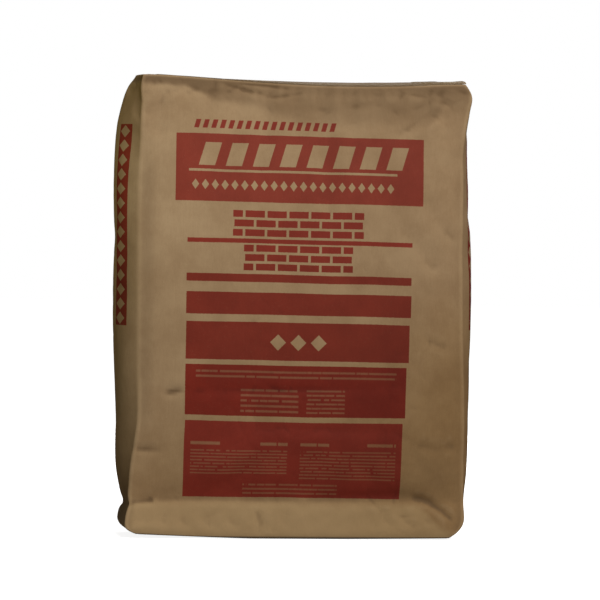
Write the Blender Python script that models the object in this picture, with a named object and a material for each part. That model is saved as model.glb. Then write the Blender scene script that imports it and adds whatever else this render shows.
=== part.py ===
"""A filled cement bag: a pasted valve sack of kraft paper that stands on its folded bottom end.

Metres, +Z up. X runs along the printed face, the front looks towards -Y, and the origin is
the middle of the footprint, on the floor.
"""

import math
from collections import namedtuple

import bmesh
import bpy
import numpy as np

# Driving dimensions of the filled sack
SACK_TOP = 0.5725
PAPER_GAP = 0.0003
STRIP_PLY = 0.0005
SLEEVE_PLY = 0.0010
SACK_FOOT = STRIP_PLY + PAPER_GAP

# The folded end rectangle, which the corner folds of the tube start from
END_LENGTH = 0.400
END_DEPTH = 0.100
FOLD_FADE = 0.105

# Grid lines of the paper along the face, through the depth and up the height
FACE_CUTS = 28
DEPTH_CUTS = 10
HEIGHT_CUTS = 36
END_CLUSTER = 0.62

# The filled top end: its sag between the corners, and the drop of its front right corner
TOP_SAG = 0.0050
CORNER_DROP = 0.0070

# Grid lines that each strip keeps clear of the end's edges, and the sleeve's place on them
STRIP_MARGIN_FACE = 1
STRIP_MARGIN_DEPTH = 1
SLEEVE_FIRST = 24
SLEEVE_LAST = 28
SLEEVE_MARGIN_DEPTH = 2
STRIP_END_AT_VALVE = 26
VALVE_RISE_FROM = 23

KRAFT = (0.27, 0.175, 0.095, 1.0)
STRIP_KRAFT = (0.31, 0.21, 0.12, 1.0)
SLEEVE_KRAFT = (0.40, 0.29, 0.18, 1.0)
PAPER_ROUGHNESS = 0.82

# The bottom end: how far its left and right ends lie off the floor, and where that starts
FOOT_RISE_LEFT = 0.0040
FOOT_RISE_RIGHT = 0.0015
FOOT_RISE_FROM = 0.45

# Half sizes of the section at each height, from its middle to the left, right, front and back,
# how square it is (an ellipse is 2, a rectangle is far above it), and the bow of its side walls
Station = namedtuple("Station", "height left right front back squareness bow")
STATIONS = [
    Station(SACK_FOOT, 0.1950, 0.1915, 0.0480, 0.0470, 9.0, 0.000),
    Station(0.0070, 0.2115, 0.2010, 0.0490, 0.0480, 9.0, 0.000),
    Station(0.0200, 0.2160, 0.2120, 0.0505, 0.0495, 8.0, 0.000),
    Station(0.0440, 0.2080, 0.2135, 0.0495, 0.0495, 6.5, 0.000),
    Station(0.0850, 0.2185, 0.2170, 0.0545, 0.0540, 5.0, 0.004),
    Station(0.1500, 0.2205, 0.2195, 0.0595, 0.0590, 3.9, 0.008),
    Station(0.2600, 0.2255, 0.2205, 0.0630, 0.0625, 3.2, 0.012),
    Station(0.3600, 0.2270, 0.2180, 0.0630, 0.0625, 3.1, 0.014),
    Station(0.4400, 0.2275, 0.2135, 0.0605, 0.0600, 3.2, 0.015),
    Station(0.5050, 0.2275, 0.2110, 0.0560, 0.0560, 3.8, 0.015),
    Station(0.5380, 0.2210, 0.2125, 0.0515, 0.0515, 5.0, 0.013),
    Station(0.5600, 0.2125, 0.2130, 0.0490, 0.0490, 8.0, 0.008),
    Station(SACK_TOP, 0.2045, 0.2040, 0.0485, 0.0480, 9.0, 0.003),
]


def section_at(height):
    """The station's six values at a height, on smooth curves through the stations."""
    heights = [s.height for s in STATIONS]
    upper = int(np.clip(np.searchsorted(heights, height), 1, len(STATIONS) - 1))
    lower = upper - 1
    span = heights[upper] - heights[lower]
    t = min(max((height - heights[lower]) / span, 0.0), 1.0)

    def slope(i, column):
        before, after = max(i - 1, 0), min(i + 1, len(STATIONS) - 1)
        rise = STATIONS[after][column] - STATIONS[before][column]
        return rise / (heights[after] - heights[before])

    values = []
    for column in range(1, 7):
        start, end = STATIONS[lower][column], STATIONS[upper][column]
        hermite = (
            start * (1 + 2 * t) * (1 - t) ** 2
            + end * (3 - 2 * t) * t**2
            + slope(lower, column) * span * t * (1 - t) ** 2
            - slope(upper, column) * span * (1 - t) * t**2
        )
        values.append(hermite)
    return values


def rounded_quarter(reach, depth, squareness, share):
    """A point on a quarter of a squared ellipse, at a share of its length from the depth axis."""
    turn = np.linspace(0.0, math.pi / 2, 241)
    across = reach * np.sin(turn) ** (2 / squareness)
    out = depth * np.cos(turn) ** (2 / squareness)
    run = np.concatenate([[0.0], np.cumsum(np.hypot(np.diff(across), np.diff(out)))])
    at = share * run[-1]
    return float(np.interp(at, run, across)), float(np.interp(at, run, out))


def wall_point(face_share, depth_share, height):
    """The wall's point above a place on the end rectangle's outline, both shares from -1 to 1.

    The corner folds are crisp at the ends and fade into the rounded body between them.
    """
    left, right, front, back, squareness, bow = section_at(height)
    reach = right if face_share >= 0 else left
    depth = back if depth_share >= 0 else front
    folded = np.array([abs(face_share) * (reach - bow), abs(depth_share) * depth])
    half_face, half_depth = END_LENGTH / 2, END_DEPTH / 2
    run = abs(face_share) * half_face
    if abs(face_share) > 0.9999:
        run = half_face + (1 - abs(depth_share)) * half_depth
        folded[0] = reach - bow * depth_share**2
    share = run / (half_face + half_depth)
    rounded = np.array(rounded_quarter(reach, depth, squareness, share))
    from_end = min(height - SACK_FOOT, SACK_TOP - height)
    fade = min(max(from_end / FOLD_FADE, 0.0), 1.0)
    fade = fade * fade * (3 - 2 * fade)
    across, out = folded * (1 - fade) + rounded * fade
    return math.copysign(across, face_share), math.copysign(out, depth_share)


def top_drop(face_share, depth_share):
    """How far the top end lies below its highest edge, at a place on it."""
    sag = TOP_SAG * (1 - face_share**2) * (1 - 0.35 * depth_share)
    to_right = (1 + face_share) / 2
    to_front = (1 - depth_share) / 2
    return sag * 0.8 + CORNER_DROP * to_right**1.5 * to_front


def foot_rise(face_share):
    """How far the bottom end lies off the floor, at a place along it."""
    beyond = max(abs(face_share) - FOOT_RISE_FROM, 0.0) / (1 - FOOT_RISE_FROM)
    return (FOOT_RISE_RIGHT if face_share >= 0 else FOOT_RISE_LEFT) * beyond**2


def sack_point(face_share, depth_share, height_share):
    """Where a place on the paper box ends up on the filled sack."""
    full = SACK_TOP - SACK_FOOT
    up = (height_share + 1) / 2
    up -= END_CLUSTER * math.sin(2 * math.pi * up) / (2 * math.pi)
    height = SACK_FOOT + full * up
    if abs(height_share) > 0.9999:
        left, right, front, back, _, bow = section_at(height)
        reach = right if face_share >= 0 else left
        depth = back if depth_share >= 0 else front
        x, y = face_share * (reach - bow * depth_share**2), depth_share * depth
    else:
        x, y = wall_point(face_share, depth_share, height)
    settled = height - top_drop(face_share, depth_share) * up**3
    return x, y, settled + foot_rise(face_share) * (1 - up) ** 3


def paper_box():
    """A box of paper 2 units each way, cut into the grid lines named above."""
    mesh = bmesh.new()
    bmesh.ops.create_cube(mesh, size=2.0)
    for axis, count in enumerate((FACE_CUTS, DEPTH_CUTS, HEIGHT_CUTS)):
        for line in range(1, count):
            at = -1 + 2 * line / count
            point, normal = [0.0, 0.0, 0.0], [0.0, 0.0, 0.0]
            point[axis], normal[axis] = at, 1.0
            everything = mesh.verts[:] + mesh.edges[:] + mesh.faces[:]
            bmesh.ops.bisect_plane(mesh, geom=everything, plane_co=point, plane_no=normal)
    return mesh


def paper_material(name, colour):
    material = bpy.data.materials.new(name)
    material.use_nodes = True
    shader = material.node_tree.nodes["Principled BSDF"]
    shader.inputs["Base Color"].default_value = colour
    shader.inputs["Roughness"].default_value = PAPER_ROUGHNESS
    return material


def add_piece(name, mesh, material, shift):
    """Turns a bmesh into a named object, moved by shift so that the footprint is centred."""
    bmesh.ops.translate(mesh, verts=mesh.verts, vec=shift)
    bmesh.ops.recalc_face_normals(mesh, faces=mesh.faces)
    data = bpy.data.meshes.new(name)
    mesh.to_mesh(data)
    mesh.free()
    data.shade_smooth()
    data.set_sharp_from_angle(angle=math.radians(35))
    data.materials.append(material)
    piece = bpy.data.objects.new(name, data)
    bpy.context.scene.collection.objects.link(piece)
    return piece


def filled_sack():
    """The tube with its two folded ends, solid with the packed powder."""
    mesh = paper_box()
    for vert in mesh.verts:
        vert.co = sack_point(*vert.co)
    return mesh


def end_sheet(side, first, last, depth_margin, lift, ply):
    """A sheet of paper on one end, between two grid lines along the face.

    side is 1 for the top end and -1 for the bottom, and lift(line) is its gap to the sack.
    """
    mesh = bmesh.new()
    rows = range(depth_margin, DEPTH_CUTS - depth_margin + 1)
    columns = range(first, last + 1)
    bmesh.ops.create_grid(
        mesh, x_segments=len(columns) - 1, y_segments=len(rows) - 1, size=1.0
    )
    for vert in mesh.verts:
        line = first + (vert.co.x + 1) / 2 * (last - first)
        row = depth_margin + (vert.co.y + 1) / 2 * (DEPTH_CUTS - 2 * depth_margin)
        face_share = -1 + 2 * line / FACE_CUTS
        depth_share = -1 + 2 * row / DEPTH_CUTS
        x, y, z = sack_point(face_share, depth_share, side)
        vert.co = (x, y, z + side * lift(line))
    outer = bmesh.ops.extrude_face_region(mesh, geom=mesh.faces[:])["geom"]
    raised = [part for part in outer if isinstance(part, bmesh.types.BMVert)]
    bmesh.ops.translate(mesh, verts=raised, vec=(0.0, 0.0, side * ply))
    return mesh


def top_strip_lift(line):
    """The top strip lies on the sack, and rises over the valve sleeve at its right end."""
    rise = min(max(line - VALVE_RISE_FROM, 0.0), 1.0)
    return PAPER_GAP + rise * (SLEEVE_PLY + PAPER_GAP)


def flat_lift(line):
    """A sheet that lies on the sack all along."""
    return PAPER_GAP


def main():
    for old in list(bpy.data.objects):
        bpy.data.objects.remove(old)

    sack = filled_sack()
    lows = [min(vert.co[axis] for vert in sack.verts) for axis in (0, 1)]
    highs = [max(vert.co[axis] for vert in sack.verts) for axis in (0, 1)]
    shift = (-(lows[0] + highs[0]) / 2, -(lows[1] + highs[1]) / 2, 0.0)

    kraft = paper_material("kraft_paper", KRAFT)
    strip_kraft = paper_material("strip_paper", STRIP_KRAFT)
    sleeve_kraft = paper_material("sleeve_paper", SLEEVE_KRAFT)

    add_piece("paper_sack", sack, kraft, shift)
    whole_strip = (STRIP_MARGIN_FACE, FACE_CUTS - STRIP_MARGIN_FACE, STRIP_MARGIN_DEPTH)
    bottom = end_sheet(-1, *whole_strip, flat_lift, STRIP_PLY)
    add_piece("bottom_cover_strip", bottom, strip_kraft, shift)
    valve_strip = (STRIP_MARGIN_FACE, STRIP_END_AT_VALVE, STRIP_MARGIN_DEPTH)
    top = end_sheet(1, *valve_strip, top_strip_lift, STRIP_PLY)
    add_piece("top_cover_strip", top, strip_kraft, shift)
    sleeve = end_sheet(
        1, SLEEVE_FIRST, SLEEVE_LAST, SLEEVE_MARGIN_DEPTH, flat_lift, SLEEVE_PLY
    )
    add_piece("valve_sleeve", sleeve, sleeve_kraft, shift)


main()
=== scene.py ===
"""The looks of a filled kraft paper cement bag, standing on its folded bottom end."""

import math
from collections import namedtuple

import bmesh
import bpy
import numpy as np
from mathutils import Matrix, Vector, noise
from mathutils.bvhtree import BVHTree


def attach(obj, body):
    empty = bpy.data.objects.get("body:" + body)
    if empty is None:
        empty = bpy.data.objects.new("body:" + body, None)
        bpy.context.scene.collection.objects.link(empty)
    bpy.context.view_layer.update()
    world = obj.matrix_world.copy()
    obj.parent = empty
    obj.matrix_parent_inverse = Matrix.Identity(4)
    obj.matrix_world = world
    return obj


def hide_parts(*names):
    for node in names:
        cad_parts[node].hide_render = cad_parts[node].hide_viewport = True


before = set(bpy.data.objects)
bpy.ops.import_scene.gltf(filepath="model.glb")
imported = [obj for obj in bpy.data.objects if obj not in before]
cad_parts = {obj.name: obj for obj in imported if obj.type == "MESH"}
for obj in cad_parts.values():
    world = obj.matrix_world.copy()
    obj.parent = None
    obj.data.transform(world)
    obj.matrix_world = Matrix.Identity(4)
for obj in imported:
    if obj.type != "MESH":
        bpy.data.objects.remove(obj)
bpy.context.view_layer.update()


# The filled sack. A tube of brown kraft paper, three plies thick, pasted along its back, folded
# flat at both ends into blocks and packed with cement powder. The paper is stiff, so it holds
# soft dents and creases, and it is crisp only where the ends were folded.
SACK_TOP = 0.5725
SACK_FOOT = 0.0008
END_LENGTH = 0.400
END_DEPTH = 0.100
FOLD_FADE = 0.105
FACE_CELLS = 78
DEPTH_CELLS = 22
HEIGHT_CELLS = 100
END_CLUSTER = 0.35
TOP_SAG = 0.0075
CORNER_DROP = 0.0048
LEFT_DROP = 0.0014
FOOT_RISE_LEFT = 0.0045
FOOT_RISE_RIGHT = 0.0015
FOOT_RISE_FROM = 0.28
FACE_BOW = 0.0085
SIDE_ROUNDNESS = 1.4
FOLD_LOST = {
    ("front", "left"): 0.40,
    ("front", "right"): 0.45,
    ("back", "left"): 0.40,
    ("back", "right"): 0.40,
}
FOLD_CREASE = {
    ("front", "left"): 0.75,
    ("front", "right"): 0.25,
    ("back", "left"): 0.50,
    ("back", "right"): 0.50,
}
SOFT_FROM_FOOT = (0.11, 0.22)
SOFT_FROM_TOP = (0.05, 0.15)
END_CREASE = 0.92

Station = namedtuple("Station", "height left right front back squareness left_bow right_bow")
STATIONS = [
    Station(SACK_FOOT, 0.2000, 0.1925, 0.0510, 0.0485, 9.0, 0.000, 0.000),
    Station(0.0070, 0.2142, 0.2015, 0.0520, 0.0502, 9.0, 0.002, 0.000),
    Station(0.0200, 0.2146, 0.2115, 0.0503, 0.0497, 8.0, 0.001, 0.001),
    Station(0.0380, 0.2115, 0.2148, 0.0478, 0.0482, 7.0, 0.002, 0.002),
    Station(0.0500, 0.2158, 0.2160, 0.0456, 0.0470, 6.5, 0.006, 0.002),
    Station(0.0850, 0.2220, 0.2195, 0.0524, 0.0521, 5.0, 0.014, 0.004),
    Station(0.1500, 0.2236, 0.2204, 0.0588, 0.0583, 3.9, 0.024, 0.006),
    Station(0.2600, 0.2280, 0.2212, 0.0628, 0.0625, 3.2, 0.027, 0.014),
    Station(0.3600, 0.2285, 0.2192, 0.0630, 0.0625, 3.1, 0.025, 0.014),
    Station(0.4400, 0.2303, 0.2138, 0.0605, 0.0600, 3.2, 0.026, 0.005),
    Station(0.5050, 0.2283, 0.2098, 0.0552, 0.0555, 3.8, 0.026, 0.003),
    Station(0.5380, 0.2218, 0.2122, 0.0502, 0.0508, 5.0, 0.019, 0.004),
    Station(0.5600, 0.2138, 0.2137, 0.0487, 0.0488, 8.0, 0.010, 0.004),
    Station(SACK_TOP, 0.2045, 0.2040, 0.0490, 0.0482, 9.0, 0.003, 0.003),
]


def smooth_step(value, start, end):
    """0 before start, 1 after end, and a smooth rise between them."""
    share = np.clip((value - start) / (end - start), 0.0, 1.0)
    return share * share * (3 - 2 * share)


def section_at(height):
    """The sack's half sizes, squareness and side bows at a height, on smooth curves."""
    heights = [s.height for s in STATIONS]
    upper = int(np.clip(np.searchsorted(heights, height), 1, len(STATIONS) - 1))
    lower = upper - 1
    span = heights[upper] - heights[lower]
    t = min(max((height - heights[lower]) / span, 0.0), 1.0)

    def slope(i, column):
        before, after = max(i - 1, 0), min(i + 1, len(STATIONS) - 1)
        rise = STATIONS[after][column] - STATIONS[before][column]
        return rise / (heights[after] - heights[before])

    return [
        STATIONS[lower][column] * (1 + 2 * t) * (1 - t) ** 2
        + STATIONS[upper][column] * (3 - 2 * t) * t**2
        + slope(lower, column) * span * t * (1 - t) ** 2
        - slope(upper, column) * span * (1 - t) * t**2
        for column in range(1, 8)
    ]


def rounded_quarter(reach, depth, squareness, share):
    """A point on a quarter of a squared ellipse, at a share of its length from the depth axis."""
    turn = np.linspace(0.0, math.pi / 2, 161)
    across = reach * np.sin(turn) ** (2 / squareness)
    out = depth * np.cos(turn) ** (2 / squareness)
    run = np.concatenate([[0.0], np.cumsum(np.hypot(np.diff(across), np.diff(out)))])
    at = share * run[-1]
    return float(np.interp(at, run, across)), float(np.interp(at, run, out))


def fold_name(face_share, depth_share):
    """Which of the four upright folds a place is nearest to."""
    return "front" if depth_share < 0 else "back", "left" if face_share < 0 else "right"


def softness(fold, height):
    """How far up the walls a fold is soft: the front left one is crisp beyond its middle."""
    if fold != ("front", "left"):
        return 1.0
    from_top = SACK_TOP - height
    return float(smooth_step(height, *SOFT_FROM_FOOT) * smooth_step(from_top, *SOFT_FROM_TOP))


def wall_point(face_share, depth_share, height):
    """The wall above a place on the end's outline: folded at the ends, rounded between them."""
    left, right, front, back, squareness, left_bow, right_bow = section_at(height)
    reach, side_bow = (right, right_bow) if face_share >= 0 else (left, left_bow)
    depth = back if depth_share >= 0 else front
    fade = smooth_step(min(height - SACK_FOOT, SACK_TOP - height), 0.0, FOLD_FADE)
    corner_depth = depth - FACE_BOW * fade
    run = abs(face_share) * END_LENGTH / 2
    if abs(face_share) > 0.9999:
        run = END_LENGTH / 2 + (1 - abs(depth_share)) * END_DEPTH / 2
        across = reach - side_bow * abs(depth_share) ** SIDE_ROUNDNESS
        folded = np.array([across, abs(depth_share) * corner_depth])
    else:
        out = depth - (depth - corner_depth) * abs(face_share) ** 3
        folded = np.array([abs(face_share) * (reach - side_bow), abs(depth_share) * out])
    share = run / (END_LENGTH / 2 + END_DEPTH / 2)
    rounded = np.array(rounded_quarter(reach, depth, squareness, share))
    fold = fold_name(face_share, depth_share)
    lost = fade * FOLD_LOST[fold] * softness(fold, height)
    across, out = folded + (rounded - folded) * lost
    return math.copysign(across, face_share), math.copysign(out, depth_share)


def paper_height(height_share):
    """The height on the sack of a place on the paper box, -1 to 1, with closer rows at the ends."""
    up = (height_share + 1) / 2
    up -= END_CLUSTER * math.sin(2 * math.pi * up) / (2 * math.pi)
    return SACK_FOOT + (SACK_TOP - SACK_FOOT) * up


def sack_point(face_share, depth_share, height_share):
    """Where a place on the flat paper box, -1 to 1 each way, ends up on the filled sack."""
    height = paper_height(height_share)
    if abs(height_share) > 0.9999:
        left, right, front, back, _, left_bow, right_bow = section_at(height)
        reach, bow = (right, right_bow) if face_share >= 0 else (left, left_bow)
        depth = back if depth_share >= 0 else front
        across = reach - bow * abs(depth_share) ** SIDE_ROUNDNESS
        x, y = face_share * across, depth_share * depth
    else:
        x, y = wall_point(face_share, depth_share, height)
    up = (height - SACK_FOOT) / (SACK_TOP - SACK_FOOT)
    inside = max(1 - face_share**2, 0.0)
    sag = TOP_SAG * inside**1.5 * (1 + 0.35 * face_share) * (1 - 0.35 * depth_share) * 0.8
    drop = CORNER_DROP * ((1 + face_share) / 2) ** 1.5 * (1 - depth_share) / 2
    drop += LEFT_DROP * ((1 - face_share) / 2) ** 2
    beyond = max(abs(face_share) - FOOT_RISE_FROM, 0.0) / (1 - FOOT_RISE_FROM)
    rise = (FOOT_RISE_RIGHT if face_share >= 0 else FOOT_RISE_LEFT) * beyond**1.2
    return Vector((x, y, height - (sag + drop) * up**3 + rise * (1 - up) ** 3))


# Its paper is ruled before it is filled: each wall and end of the box is one flat field of the
# UV map, in metres, and a point attribute keeps each place's shares of the box.
BACK_FIELD = 1.0
SIDE_FIELD = 0.5
END_FIELD = 1.0


def flat_place(point, normal):
    """A corner's place on the flat paper, with the walls side by side round the front."""
    if normal.y < -0.5:
        return point.x, point.z
    if normal.y > 0.5:
        return BACK_FIELD - point.x, point.z
    if abs(normal.x) > 0.5:
        return math.copysign(SIDE_FIELD + point.y, normal.x), point.z
    return point.x, math.copysign(END_FIELD, normal.z) + point.y


sheet = bmesh.new()
bmesh.ops.create_cube(sheet, size=2.0)
for axis, cells in enumerate((FACE_CELLS, DEPTH_CELLS, HEIGHT_CELLS)):
    along = [e for e in sheet.edges if abs(e.verts[0].co[axis] - e.verts[1].co[axis]) > 1.9]
    bmesh.ops.subdivide_edges(sheet, edges=along, cuts=cells - 1, use_grid_fill=True)
sheet.normal_update()
flat_paper = sheet.loops.layers.uv.new("flat_paper")
box_share = sheet.verts.layers.float_vector.new("box_share")
flat_normals = {face: face.normal.copy() for face in sheet.faces}
folded_edge = sheet.edges.layers.float.new("crease_edge")
for edge in sheet.edges:
    one, two = (vert.co for vert in edge.verts)
    if abs(one.x) > 0.999 and abs(one.y) > 0.999 and abs(one.z - two.z) > 0.001:
        fold = fold_name(one.x, one.y)
        hard = 1.0 if fold != ("front", "left") else 1 - 0.8 * softness(fold, paper_height(one.z))
        edge[folded_edge] = FOLD_CREASE[fold] * hard
    elif abs(one.z) > 0.999 and abs(two.z) > 0.999 and len(edge.link_faces) == 2:
        if edge.link_faces[0].normal.angle(edge.link_faces[1].normal) > 1.0:
            edge[folded_edge] = END_CREASE
for vert in sheet.verts:
    vert[box_share] = vert.co
    vert.co = sack_point(*vert.co)
middle = [
    (min(v.co[axis] for v in sheet.verts) + max(v.co[axis] for v in sheet.verts)) / 2
    for axis in (0, 1)
]
bmesh.ops.translate(sheet, verts=sheet.verts, vec=(-middle[0], -middle[1], 0.0))
for face, normal in flat_normals.items():
    for loop in face.loops:
        loop[flat_paper].uv = flat_place(loop.vert.co, normal)
paper = bpy.data.meshes.new("filled_sack")
sheet.to_mesh(paper)
sheet.free()
sack = bpy.data.objects.new("filled_sack", paper)
bpy.context.scene.collection.objects.link(sack)


# Packed with powder, the paper swells against its folded ends. A cloth simulation with pressure
# inside gives it its dents and creases, and the swelling itself is taken out again, because the
# stations above already have it.
SIM_FRAMES = 20
PAPER_SPARE = 0.022
DENT_SHARE = 0.55
DENT_LIMIT = 0.0035
SWELLING_PASSES = 160


def point_array(mesh, count=3, name="co"):
    """The mesh's points, or what they hold, as an array with a row for each."""
    values = np.empty(len(mesh.vertices) * count)
    mesh.vertices.foreach_get(name, values)
    return values.reshape(-1, count)


def evened(values, mesh, passes):
    """Values at the mesh's points, each mixed with its neighbours' so many times."""
    pairs = np.empty(len(mesh.edges) * 2, dtype=np.int64)
    mesh.edges.foreach_get("vertices", pairs)
    first, second = pairs.reshape(-1, 2).T
    degree = np.bincount(pairs, minlength=len(values))
    for _ in range(passes):
        total = np.stack(
            [
                np.bincount(first, column[second], len(column))
                + np.bincount(second, column[first], len(column))
                for column in values.T
            ],
            axis=1,
        )
        values = 0.5 * values + 0.5 * total / degree[:, None]
    return values


held = sack.vertex_groups.new(name="held_ends")
at_ends = [
    v.index for v in paper.vertices if min(v.co.z, SACK_TOP - v.co.z) < 0.012
]
held.add(at_ends, 1.0, "REPLACE")
packed = sack.modifiers.new("packed_paper", "CLOTH")
packed.settings.quality = 6
packed.settings.mass = 0.2
packed.settings.tension_stiffness = 60
packed.settings.compression_stiffness = 60
packed.settings.shear_stiffness = 30
packed.settings.bending_stiffness = 6
packed.settings.shrink_min = -PAPER_SPARE
packed.settings.use_pressure = True
packed.settings.uniform_pressure_force = 4
packed.settings.vertex_group_mass = held.name
packed.settings.effector_weights.gravity = 0
packed.point_cache.frame_start = 1
packed.point_cache.frame_end = SIM_FRAMES
for step in range(1, SIM_FRAMES + 1):
    bpy.context.scene.frame_set(step)
swollen = sack.evaluated_get(bpy.context.evaluated_depsgraph_get()).to_mesh()
before = point_array(paper)
moved = point_array(swollen) - before
sack.modifiers.remove(packed)
sack.vertex_groups.remove(held)
bpy.context.scene.frame_set(1)
dents = (moved - evened(moved, paper, SWELLING_PASSES)) * DENT_SHARE
reach = np.linalg.norm(dents, axis=1, keepdims=True)
dents *= DENT_LIMIT / (DENT_LIMIT + reach)
dents *= 0.35 + 0.65 * smooth_step(before[:, 2:], 0.04, 0.10)
paper.vertices.foreach_set("co", (before + dents).ravel())
paper.update()

# One subdivision rounds the paper between the rows, and the creases that a filled bag gets from
# handling are then pressed into its walls, each a line or a spot on the front.
finer = sack.modifiers.new("finer", "SUBSURF")
finer.levels = finer.render_levels = 1
paper = bpy.data.meshes.new_from_object(
    sack.evaluated_get(bpy.context.evaluated_depsgraph_get())
)
sack.modifiers.remove(finer)
coarse = sack.data
sack.data = paper
bpy.data.meshes.remove(coarse)
paper.name = "filled_sack"

place = point_array(paper)
x, y, z = place.T
share = np.empty(len(place) * 3)
paper.attributes["box_share"].data.foreach_get("vector", share)
across, deep, upward = share.reshape(-1, 3).T
from_top = SACK_TOP - np.array([paper_height(s) for s in upward])
on_front = smooth_step(-deep, 0.80, 0.995)
on_back = smooth_step(deep, 0.80, 0.995)
on_side = smooth_step(np.abs(across), 0.93, 0.999)
push = np.zeros(len(place))


def along_line(points, x, z):
    """Each point's distance to a line on the wall, signed by its side, and the share run along."""
    nearest = np.full(len(x), 1e9)
    side = np.zeros(len(x))
    run_share = np.zeros(len(x))
    lengths = [math.dist(a, b) for a, b in zip(points, points[1:])]
    so_far = 0.0
    for (ax, az), (bx, bz), length in zip(points, points[1:], lengths):
        t = np.clip(((x - ax) * (bx - ax) + (z - az) * (bz - az)) / length**2, 0.0, 1.0)
        gap = np.hypot(x - ax - t * (bx - ax), z - az - t * (bz - az))
        closer = gap < nearest
        nearest[closer] = gap[closer]
        cross = (bx - ax) * (z - az) - (bz - az) * (x - ax)
        side[closer] = np.sign(cross[closer])
        run_share[closer] = (so_far + t[closer] * length) / sum(lengths)
        so_far += length
    return nearest * side, run_share


def crease(points, depth, width, lip=0.0, x=x, wall=on_front):
    """A pressed line on a wall, which fades at both ends, with a raised lip on its left side."""
    away, run = along_line(points, x, z)
    fade = smooth_step(run, 0.0, 0.15) * smooth_step(1 - run, 0.0, 0.15)
    groove = np.exp(-((away / width) ** 2))
    raised = np.exp(-(((away - 2.2 * width) / (1.5 * width)) ** 2))
    return wall * fade * (lip * raised - depth * groove)


def spot(at, size, depth, lean=0.0, x=x, wall=on_front):
    """A soft dent on a wall, or a bulge where its depth is below 0."""
    dx, dz = x - at[0], z - at[1]
    turned = dx * math.cos(lean) + dz * math.sin(lean), dz * math.cos(lean) - dx * math.sin(lean)
    return -wall * depth * np.exp(-((turned[0] / size[0]) ** 2) - (turned[1] / size[1]) ** 2)


# Under both ends the walls are drawn in: a dark hollow below the top edge, and a line where the
# foot spreads. That line runs down to the corner at the right.
wobble = np.array([noise.noise((px * 8, py * 13, pz * 34 + 3)) for px, py, pz in place])
push -= 0.0012 * np.exp(-(((from_top - 0.0105) / 0.0065) ** 2)) * (0.55 + 0.5 * wobble)
foot_line = [(-0.205, 0.036), (-0.190, 0.0445), (-0.118, 0.0500), (0.006, 0.0495)]
foot_line += [(0.132, 0.0535), (0.163, 0.0505), (0.183, 0.0385), (0.203, 0.0260)]
push += crease(foot_line[3:], 0.0014, 0.0075, lip=0.0004)
push += crease(foot_line[:4], 0.0008, 0.0060)
push += crease([(-px, pz) for px, pz in foot_line], 0.0012, 0.0060, wall=on_back)
pleats = np.sin(x * 205 + 5 * wobble) * np.exp(-(((z - 0.024) / 0.016) ** 2))
push += 0.0006 * pleats * (on_front + on_back) * (0.5 + wobble)

front_spots = [
    ((0.075, 0.538), (0.020, 0.006), 0.0012, 0.1),
    ((0.118, 0.532), (0.014, 0.007), 0.0012, -0.3),
    ((0.150, 0.540), (0.016, 0.006), 0.0013, 0.4),
    ((0.172, 0.528), (0.013, 0.008), 0.0014, -0.2),
    ((0.128, 0.508), (0.018, 0.006), 0.0013, 0.5),
    ((0.160, 0.512), (0.020, 0.007), -0.0010, 0.5),
    ((0.020, 0.533), (0.024, 0.006), 0.0008, -0.1),
    ((-0.030, 0.547), (0.035, 0.005), 0.0007, -0.12),
    ((-0.110, 0.552), (0.050, 0.005), 0.0008, 0.0),
    ((-0.153, 0.182), (0.012, 0.006), 0.0017, 0.2),
    ((-0.186, 0.110), (0.016, 0.006), 0.0016, 0.0),
    ((-0.165, 0.065), (0.030, 0.010), -0.0010, 0.2),
    ((0.175, 0.245), (0.018, 0.006), 0.0010, -0.3),
    ((-0.020, 0.186), (0.100, 0.006), 0.0010, 0.02),
    ((0.030, 0.137), (0.080, 0.007), 0.0008, -0.03),
    ((-0.075, 0.556), (0.022, 0.0035), 0.0012, -0.25),
    ((-0.050, 0.561), (0.030, 0.003), 0.0011, -0.1),
    ((-0.020, 0.549), (0.018, 0.003), 0.0008, 0.15),
    ((0.165, 0.350), (0.012, 0.016), 0.0009, 0.2),
    ((0.178, 0.410), (0.010, 0.018), 0.0008, -0.2),
]
for at, size, depth, lean in front_spots:
    push += spot(at, size, depth, lean)
push += crease([(0.120, 0.395), (0.155, 0.355), (0.192, 0.305)], 0.0008, 0.010, lip=0.0004)
push += crease([(0.150, 0.430), (0.172, 0.395), (0.200, 0.372)], 0.0006, 0.008, lip=0.0003)
push += crease([(0.150, 0.120), (0.178, 0.112), (0.205, 0.118)], 0.0007, 0.006, lip=0.0003)
push += crease([(0.146, 0.053), (0.170, 0.047), (0.189, 0.035), (0.204, 0.022)], 0.0013, 0.0042, lip=0.0005)
push += crease([(-0.213, 0.040), (-0.196, 0.045), (-0.172, 0.048)], 0.0013, 0.0042, lip=0.0004)
push += crease([(-0.047, 0.038), (-0.040, 0.021), (-0.043, 0.005)], 0.0005, 0.0050, lip=0.0003)
push += crease([(-0.028, 0.032), (-0.024, 0.007)], 0.0004, 0.0046)

# The upright folds stand out a little where the paper was creased hard.
from_fold = np.where(
    np.abs(across) > 0.9999, (1 - np.abs(deep)) * END_DEPTH / 2, (1 - np.abs(across)) * END_LENGTH / 2
)
crisp = 1 - smooth_step(z, *SOFT_FROM_FOOT) * smooth_step(from_top, *SOFT_FROM_TOP)
hard_fold = np.where((across < 0) & (deep < 0), 0.0009 * crisp, 0.0005)
push += hard_fold * np.exp(-from_fold / 0.004) * (0.8 + 0.5 * wobble)

# At the left the back fold is pinched above the foot.
pinched = np.exp(-(((z - 0.043) / 0.009) ** 2)) * np.exp(-((from_fold / 0.022) ** 2))
push -= 0.0052 * np.where((across < 0) & (deep > 0), pinched, 0.0)

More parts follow.
